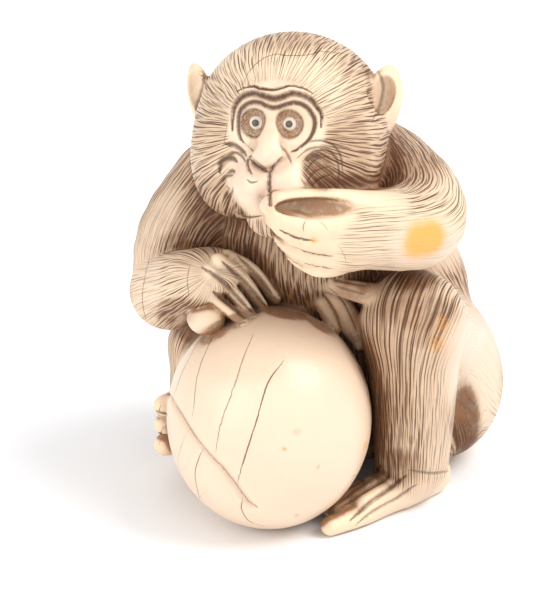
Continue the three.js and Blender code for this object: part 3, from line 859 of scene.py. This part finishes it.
# Worn bright places, laid out as the stains are. Those at the elbow and the seat on the right-hand
# side, and on the outer edge of its right upper arm, are partly painted highlight, where the window's
# light falls.
WORN_AND_HIGHLIT = (
    (-3.6, 36.6, 3.0, 0.9, 0, 0.4), (-1.0, 36.6, 2.2, 1.5, -20, 0.35), (-4.5, 28.2, 2.6, 2.6, 0, 0.7),
    (2.0, 34.3, 2.0, 2.6, 0, 0.15), (9.0, 22.7, 3.6, 2.6, 0, 0.8), (5.0, 22.8, 3.6, 2.3, 0, 0.3),
    (13.0, 12.4, 2.8, 5.4, 0, 1.0), (9.9, 7.0, 1.2, 4.5, 0, 0.35), (-14.3, 19.5, 1.4, 4.5, 0, 0.5),
    (-13.0, 25.0, 1.2, 3.0, -28, 0.7), (-9.6, 20.0, 1.5, 1.6, 0, 0.4), (8.0, 1.5, 4.0, 1.2, 25, 0.7),
    (-10.4, 16.3, 1.4, 1.2, 0, 0.9),
)


def blots(points, normals, list_of_blots):
    """The strongest of the soft spots at each point, on the side that the main view sees."""
    seen = seen_at(points)
    facing = ease(*FACING_EDGE, -(normals @ SIGHT))
    total = np.zeros(len(points))
    for x, h, wide, high, lean, strength in list_of_blots:
        c, s = math.cos(math.radians(lean)), math.sin(math.radians(lean))
        dx, dh = seen[:, 0] - x, seen[:, 1] - h
        away = np.hypot((dx * c + dh * s) / wide, (-dx * s + dh * c) / high)
        total = np.maximum(total, strength * (1 - ease(*BLOT_EDGE, away)))
    return total * facing


COAT_GREY = {"trunk": 0.9, "right_upper_arm": 0.7, "left_arm": 0.3, "right_leg": 0.6, "left_leg": 0.35,
             "right_forearm": 0.25, "head": 0.16, "leaf": 0.6}
COAT_CLEAN = {"ear": 0.6, "leaf": 0.5}  # how much less stain the hollows hold here


def age(clay, points, normals, gaps):
    """The tone attribute: stain, grey of the coat with some painted shade, and how worn and bright the
    place is, partly painted highlight.
    """
    coats = list(gaps)
    depths = np.array([gaps[coat] for coat in coats])
    nearest = np.array(coats)[np.argmin(depths, 0)]
    shares = np.exp(-np.maximum(depths, 0) / COAT_FADE)
    shares /= shares.sum(0)
    fruit = nearest == "peach"
    bare = bare_face(points) * (nearest == "head")
    wear_and_highlight = blots(points, normals, WORN_AND_HIGHLIT)

    grey = np.array([COAT_GREY.get(coat, 0.0) for coat in coats]) @ shares
    head = to_head(points)
    nape = ease(-2.0, 5.0, head[:, 1]) * 0.35 + ease(5.0, 8.0, head[:, 2]) * 0.1
    grey = grey + np.where(nearest == "head", nape, 0)
    # Painted shade: its left arm's coat goes browner near the head, which shades the shoulder, and
    # paler away from it.
    shade_near_head = np.exp(-np.maximum(gaps["head"], 0) / 2.5)
    grey = grey + shares[coats.index("left_arm")] * (0.9 * shade_near_head - 0.15)
    shade = blots(points, normals, SHADES) * np.isin(nearest, list(COAT_GREY))
    grey = (grey + shade * (1 - grey)) * (1 - 0.75 * wear_and_highlight) * (1 - bare)

    clean = np.array([COAT_CLEAN.get(coat, 0.0) for coat in coats]) @ shares
    stain = np.clip(hollows(clay, points, normals) * 2.3 - 0.2, 0, 1) * (1 - clean) * (1 - 0.45 * bare)
    stain = np.where(fruit, stain * 0.8 - 0.1, stain)
    stain = np.maximum(stain, blots(points, normals, STAINS))
    return np.stack([stain, grey, np.clip(wear_and_highlight + 0.9 * fruit + 0.5 * bare, 0, 1)], -1)


# ---- materials ----

def math_node(kind):
    """A way to reckon with a value: a Math node that takes the value first."""
    return lambda self, *others: self.sheet.math(kind, self, *others)


def math_node_back(kind):
    """The same with the value last, as in 1 - mask."""
    return lambda self, other: self.sheet.math(kind, other, self)


class Value:
    """A number or colour in a material's nodes that can be reckoned with."""

    __add__, __radd__ = math_node("ADD"), math_node_back("ADD")
    __sub__, __rsub__ = math_node("SUBTRACT"), math_node_back("SUBTRACT")
    __mul__, __rmul__ = math_node("MULTIPLY"), math_node_back("MULTIPLY")
    __truediv__ = math_node("DIVIDE")
    floor, fract, size = math_node("FLOOR"), math_node("FRACT"), math_node("ABSOLUTE")
    most, least = math_node("MAXIMUM"), math_node("MINIMUM")

    def __init__(self, sheet, socket):
        self.sheet, self.socket = sheet, socket

    def held(self):
        """The value kept between 0 and 1."""
        return self.most(0.0).least(1.0)

    def ease(self, low, high, to_low=0.0, to_high=1.0):
        inputs = {"Value": self, "From Min": low, "From Max": high, "To Min": to_low, "To Max": to_high}
        return self.sheet.node("MapRange", inputs=inputs, interpolation_type="SMOOTHSTEP")

    def parts(self):
        return [self.sheet.node("SeparateXYZ", outlet=i, inputs={0: self}) for i in range(3)]


class Sheet:
    """One material and its nodes."""

    def __init__(self, name):
        self.material = bpy.data.materials.new(name)
        self.material.use_nodes = True
        self.tree = self.material.node_tree
        self.shader = self.tree.nodes["Principled BSDF"]

    def node(self, kind, outlet=0, inputs=None, **settings):
        node = self.tree.nodes.new("ShaderNode" + kind)
        for name, value in settings.items():
            setattr(node, name, value)
        for place, value in (inputs or {}).items():
            self.fill(node.inputs[place], value)
        return Value(self, node.outputs[outlet])

    def fill(self, socket, value):
        if isinstance(value, Value):
            self.tree.links.new(value.socket, socket)
        else:
            socket.default_value = value

    def math(self, kind, *values):
        return self.node("Math", inputs=dict(enumerate(values)), operation=kind)

    def mix(self, share, first, second):
        inputs = {0: share, 6: first, 7: second}
        return self.node("Mix", outlet=2, inputs=inputs, data_type="RGBA", clamp_factor=True)

    def attribute(self, name):
        return self.node("Attribute", outlet=1, attribute_name=name)

    def place(self):
        return self.node("TexCoord", outlet=3)

    def noise(self, place, size, detail=2.0, rough=0.5):
        """Noise from 0 to 1 whose spots are about this many millimetres."""
        inputs = {"Vector": place, "Scale": PER_METRE / size, "Detail": detail, "Roughness": rough}
        return self.node("TexNoise", inputs=inputs)

    def from_point(self, place, xyz):
        """How far a place is from a point given in millimetres of the frame, in millimetres."""
        inputs = {0: place, 1: tuple(float(v) * MM for v in xyz)}
        return self.node("VectorMath", outlet=1, inputs=inputs, operation="DISTANCE") * PER_METRE

    def finish(self, **inputs):
        for name, value in inputs.items():
            self.fill(self.shader.inputs[name.replace("_", " ")], value)
        return self.material


LONG_STROKES, SHORT_STROKES = (0.33, 5.2), (0.25, 2.8)  # how far apart and how long
GOLDEN_STEP = 0.618034  # steps that never fall into a pattern
PLASTIC_STEPS = (0.754878, 0.569840)


def strokes(across, along, size, seed, widen):
    """Rows of fine tapering strokes, 1 in a stroke and 0 between."""
    pitch, length = size
    columns = across / pitch
    column = columns.floor()
    rows = along / length + (column * GOLDEN_STEP + seed).fract() * 7.0
    row = rows.floor()
    chance = (column * PLASTIC_STEPS[0] + row * PLASTIC_STEPS[1] + seed).fract()
    lean = ((chance * 7.31).fract() - 0.5) * 0.55
    middle = ((chance * 3.77).fract() - 0.5) * 0.5
    v = rows.fract() - 0.5
    u = columns.fract() - 0.5
    gap = (u - middle - lean * v).size()
    taper = 1.0 - (v * 2.0).size()
    half = (0.07 + 0.09 * chance + widen) * taper.ease(0.0, 0.6)
    faint = (chance * 5.9).fract().ease(0.0, 0.5, 0.5, 1.0)
    return ((half - gap) * 9.0 + 0.4).held() * faint


CREAM = (0.80, 0.615, 0.43, 1)
PALE = (0.765, 0.585, 0.44, 1)
COAT_BROWN = (0.37, 0.215, 0.12, 1)
STAIN_BROWN = (0.19, 0.085, 0.034, 1)
RUST_BROWN = (0.29, 0.115, 0.036, 1)
STROKE_BROWN = (0.10, 0.037, 0.013, 1)
LINE_BROWN = (0.09, 0.036, 0.014, 1)
AMBER = (0.86, 0.37, 0.06, 1)
RING_PALE = (0.80, 0.72, 0.62, 1)

# Where each begins and ends around the middle of an eye, and around the elbow's patches.
SOCKET_EDGE, RIM_START, RIM_END, RING_EDGE = (1.12, 1.42), (1.0, 1.22), (1.24, 1.48), (0.5, 0.58)
AMBER_EDGE = (1.0, 2.1)


def fur_strokes(sheet, drift, widen):
    """The strokes of both sets, 1 in a stroke and 0 between."""
    wander = (drift - 0.5) * 0.5
    marks = []
    for number, name in enumerate(FUR_SETS):
        across, along, weight = sheet.attribute(name).parts()
        seed = 0.31 + 0.17 * number
        long_ones = strokes(across + wander, along, LONG_STROKES, seed, widen)
        short_ones = strokes(across + wander, along, SHORT_STROKES, seed + 0.4, widen) * 0.8
        marks.append(long_ones.most(short_ones) * weight)
    return reduce(Value.most, marks)


def line_marks(sheet, grain):
    """The dark in the carved lines and cracks."""
    marks = []
    for name in CHANNELS:
        gap, dark, width = sheet.attribute(name).parts()
        half = width * (0.5 + 0.25 * (grain - 0.5))
        marks.append((1.0 - (gap.size() - half * 0.55) / (half * 0.9)).held() * dark)
    return reduce(Value.most, marks)


def eye_marks(sheet, place, shift, mottle, grain):
    """The stained sockets, the dark rims around them and the pale inlaid rings."""
    eyes = [from_head([side * EYE_SPREAD, -EYE_DEPTH, EYE_LEVEL]) + shift for side in SIDES]
    gap = reduce(Value.least, [sheet.from_point(place, eye) for eye in eyes])
    speckle = 0.8 + 0.9 * (mottle - 0.5) + 2.0 * (grain - 0.5)
    socket = gap.ease(*SOCKET_EDGE, 1.0, 0.0) * speckle
    rim = gap.ease(*RIM_START) * gap.ease(*RIM_END, 1.0, 0.0) * (0.6 + 1.2 * (grain - 0.5))
    ring = gap.ease(*RING_EDGE, 1.0, 0.0)
    return socket, rim, ring


def amber_marks(sheet, place, shift, rust, mottle, grain):
    """What is left of the tusk's amber skin, at the elbow and in a few spots."""
    patches = [sheet.from_point(place, vec(*patch) + shift) for patch in ELBOW_PATCHES]
    amber = (reduce(Value.least, patches) + (mottle - 0.5) * 0.25).ease(*AMBER_EDGE, 1.0, 0.0)
    for spot, (_, _, reach, strength) in zip(rust, RUST_SPOTS):
        near = sheet.from_point(place, spot + shift).ease(0.3 * reach, reach, 1.0, 0.0)
        amber = amber.most(near * grain.ease(0.3, 0.6) * strength)
    return amber


def ivory_material(shift, rust):
    """Old polished ivory, its cuts and hollows stained brown."""
    sheet = Sheet("ivory")
    place = sheet.place()
    stain, grey, wear_and_highlight = sheet.attribute("tone").parts()
    drift = sheet.noise(place, 5.0)
    mottle = sheet.noise(place, 0.9, 3.0, 0.6)
    grain = sheet.noise(place, 0.16, 2.0, 0.6)

    fur = fur_strokes(sheet, drift, 0.08 * grey + 0.12 * stain - 0.06 * wear_and_highlight)
    fur_dark = fur * (1.05 + 0.1 * grey + 0.3 * stain - 0.35 * wear_and_highlight)
    socket, rim, ring = eye_marks(sheet, place, shift, mottle, grain)
    lines = line_marks(sheet, grain).most(rim)
    amber = amber_marks(sheet, place, shift, rust, mottle, grain)

    ragged = (stain + (mottle - 0.5) * 1.1 + (grain - 0.5) * 0.5).ease(0.45, 0.75)
    ragged = ragged * stain.ease(0.1, 0.4)
    soak = (stain * (0.7 + 0.8 * (mottle - 0.45)) + 0.3 * ragged).most(socket).held()
    freckles = (mottle.ease(0.60, 0.78) * 0.12 + grain.ease(0.62, 0.8) * 0.05) * (1.0 - 0.6 * wear_and_highlight)
    # The coat's brown, partly painted shade at the shoulders.
    coat = (grey * (0.8 + 0.9 * (drift - 0.4) + 0.5 * (mottle - 0.5))).held()

    # Paler where worn, and paler still as painted highlight where the window's light falls.
    base = sheet.mix(wear_and_highlight, CREAM, PALE)
    base = sheet.mix(coat * 0.85, base, COAT_BROWN)
    base = sheet.mix(freckles, base, STAIN_BROWN)
    base = sheet.mix(soak * 0.9, base, sheet.mix(mottle.ease(0.45, 0.62), STAIN_BROWN, RUST_BROWN))
    base = sheet.mix(fur_dark * 0.95, base, STROKE_BROWN)
    base = sheet.mix(ring, base, RING_PALE)
    base = sheet.mix(lines, base, LINE_BROWN)
    base = sheet.mix(amber * 0.9, base, AMBER)

    height = 0.0 - fur * 0.6 - lines * 0.8 + (grain - 0.5) * 0.12 * (1.0 - wear_and_highlight * 0.7)
    bump = sheet.node("Bump", inputs={"Height": height, "Strength": 0.8, "Distance": 0.00007})
    rough = 0.42 + 0.2 * soak + 0.1 * coat - 0.12 * wear_and_highlight
    return sheet.finish(
        Base_Color=base, Roughness=rough, Normal=bump, Specular_IOR_Level=0.4,
        Coat_Weight=0.04, Coat_Roughness=0.2,
        Subsurface_Weight=0.2, Subsurface_Radius=(1.0, 0.55, 0.3), Subsurface_Scale=0.0009,
    )


def horn_material():
    """Dark polished horn, for the pupils."""
    sheet = Sheet("horn")
    grain = sheet.noise(sheet.place(), 0.2)
    colour = sheet.mix(grain, (0.05, 0.035, 0.025, 1), (0.14, 0.10, 0.075, 1))
    return sheet.finish(Base_Color=colour, Roughness=0.25)


def floor_material():
    """Matt white board."""
    sheet = Sheet("floor")
    return sheet.finish(Base_Color=(0.925, 0.93, 0.945, 1), Roughness=0.8)


# ---- the mesh ----

def frame_shift():
    """How far the frame's origin stands from the carver's, in millimetres."""
    low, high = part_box("pupil_right")
    here = (np.array(low) + np.array(high)) / 2 / MM
    there = from_head([-EYE_SPREAD, -PUPIL_MIDDLE_DEPTH, EYE_LEVEL])
    return here - there


def mesh_object(name, points, faces):
    """A mesh from the clay's skin, its faces looking outwards."""
    mesh = bpy.data.meshes.new(name)
    mesh.from_pydata(points.tolist(), [], faces)
    mesh.update()
    obj = bpy.data.objects.new(name, mesh)
    bpy.context.scene.collection.objects.link(obj)
    return obj


def mesh_points(mesh):
    flat = np.empty(len(mesh.vertices) * 3, np.float32)
    mesh.vertices.foreach_get("co", flat)
    return flat.reshape(-1, 3).astype(float)


def put_points(mesh, points):
    mesh.vertices.foreach_set("co", points.astype(np.float32).ravel())
    mesh.update()


def select_only(obj):
    bpy.ops.object.select_all(action="DESELECT")
    obj.select_set(True)
    bpy.context.view_layer.objects.active = obj


def thin_out(obj, most):
    """Thins the mesh to about this many triangles."""
    triangles = sum(len(face.vertices) - 2 for face in obj.data.polygons)
    if triangles <= most:
        return
    select_only(obj)
    thinner = obj.modifiers.new("thinner", "DECIMATE")
    thinner.ratio = most / triangles
    thinner.vertex_group = "thin"
    thinner.vertex_group_factor = 1.0
    bpy.ops.object.modifier_apply(modifier=thinner.name)


EDGE_BACK, EDGE_FRONT, EDGE_LINE, EDGE_FACE = 1.0, 0.5, 0.3, 0.2
EDGE_LEVELS = 20  # steps in which the weights are written
FRONT_BAND = (-0.15, 0.15)  # of how far the skin faces the main view
FINE_BAND = (0.45, 0.75)  # millimetres from a line
FACE_BAND, FACE_BACK = (6.2, 4.8), -4.5  # from the face's middle, in the head's frame


def keep_fine(obj, points, normals, lines):
    """Weighs the mesh by how long its edges may grow: short in the face and by the carved lines."""
    front = ease(*FRONT_BAND, -(normals @ SIGHT))
    edge = EDGE_BACK + (EDGE_FRONT - EDGE_BACK) * front
    for line in lines:
        near, gap, _, _ = line.nearest(points, normals, FINE_BAND[1])
        beside = EDGE_LINE + (EDGE_FRONT - EDGE_LINE) * ease(*FINE_BAND, np.abs(gap))
        edge[near] = np.minimum(edge[near], beside)
    q = to_head(points)
    face = ease(*FACE_BAND, np.hypot(q[:, 0], q[:, 2] + 1.0)) * (q[:, 1] < FACE_BACK)
    edge = np.minimum(edge, EDGE_FACE + (1 - EDGE_FACE) * (1 - face))
    group = obj.vertex_groups.new(name="thin")
    levels = np.round(edge * EDGE_LEVELS) / EDGE_LEVELS
    for level in np.unique(levels):
        group.add(np.nonzero(levels == level)[0].tolist(), float(level), "REPLACE")


def drop_specks(obj):
    """Keeps the one whole skin, without the closed specks of pockets inside it."""
    name = obj.name
    select_only(obj)
    bpy.ops.object.mode_set(mode="EDIT")
    bpy.ops.mesh.select_all(action="SELECT")
    bpy.ops.mesh.separate(type="LOOSE")
    bpy.ops.object.mode_set(mode="OBJECT")
    parts = sorted(bpy.context.selected_objects, key=lambda part: len(part.data.polygons))
    for speck in parts[:-1]:
        bpy.data.objects.remove(speck, do_unlink=True)
    whole = parts[-1]
    whole.name = name
    whole.vertex_groups.clear()
    return whole


def write_vectors(mesh, name, values):
    layer = mesh.attributes.new(name, "FLOAT_VECTOR", "POINT")
    layer.data.foreach_set("vector", values.astype(np.float32).ravel())


# ---- making ----

def make_carving():
    """The carved monkey: sculpted, cut, thinned and given its marks."""
    clay, forms = sculpt()
    points, faces = clay.skin()
    lines = [*face_lines(), *hand_lines(), *age_cracks(), *peach_cleft()]
    for line in lines:
        line.drop(clay)
    normals = clay.normals(points)
    sunk = points - normals * cut_lines(points, normals, lines)[:, None]
    obj = mesh_object("carved_monkey", sunk, faces)
    keep_fine(obj, points, normals, lines)
    thin_out(obj, MOST_TRIANGLES)
    obj = drop_specks(obj)

    points = mesh_points(obj.data)
    normals = clay.normals(points)
    sets, gaps = comb(points, forms)
    tone = age(clay, points, normals, gaps)
    for name, values in sets.items():
        # Strokes fade on worn places and under the painted highlights.
        values[:, 2] *= 1 - 0.6 * tone[:, 2]
        write_vectors(obj.data, name, values)
    for name, channel in zip(CHANNELS, share_channels(lines)):
        values = np.tile(NO_LINE, (len(points), 1))
        for line in channel:
            near, gap, width, dark = line.nearest(points, normals, MARK_REACH)
            values[near] = np.stack([gap, dark, width], -1)
        write_vectors(obj.data, name, values)
    write_vectors(obj.data, "tone", tone)

    shift = frame_shift()
    put_points(obj.data, (points + shift) * MM)
    obj.data.polygons.foreach_set("use_smooth", [True] * len(obj.data.polygons))
    rust = lay_on(clay, vec(*RUST_SPOTS)[:, :2])
    obj.data.materials.append(ivory_material(shift, rust))
    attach(obj, "root")
    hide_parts("carving")


def dress_pupils():
    horn = horn_material()
    for name in ("pupil_right", "pupil_left"):
        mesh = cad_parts[name].data
        mesh.materials.clear()
        mesh.materials.append(horn)


FLOOR_SIZE, FLOOR_DROP = 4, 0.00002
LIGHT_AIM = Vector((0, 0, 0.02))


def make_floor():
    bpy.ops.object.select_all(action="DESELECT")
    bpy.ops.mesh.primitive_plane_add(size=FLOOR_SIZE, location=(0, 0, -FLOOR_DROP))
    floor = bpy.context.object
    floor.name = "floor"
    floor.data.materials.append(floor_material())


def make_light(name, place, size, watts, colour=(1, 1, 1)):
    data = bpy.data.lights.new(name, "AREA")
    data.shape = "DISK"
    data.size, data.energy, data.color = size, watts, colour
    light = bpy.data.objects.new(name, data)
    bpy.context.scene.collection.objects.link(light)
    light.location = place
    light.rotation_euler = (LIGHT_AIM - Vector(place)).to_track_quat("-Z", "Y").to_euler()


def make_studio():
    make_floor()
    make_light("window", (0.30, -0.10, 0.42), 0.34, 1.9, (1, 0.985, 0.96))
    make_light("left_fill", (-0.42, -0.38, 0.22), 0.5, 1.5)
    world = bpy.data.worlds.new("studio")
    bpy.context.scene.world = world
    world.use_nodes = True
    sky = world.node_tree.nodes["Background"].inputs
    sky["Color"].default_value, sky["Strength"].default_value = (1, 1, 1, 1), 0.92
    bpy.context.scene.view_settings.view_transform = "Standard"


make_camera()
make_carving()
dress_pupils()
make_studio()
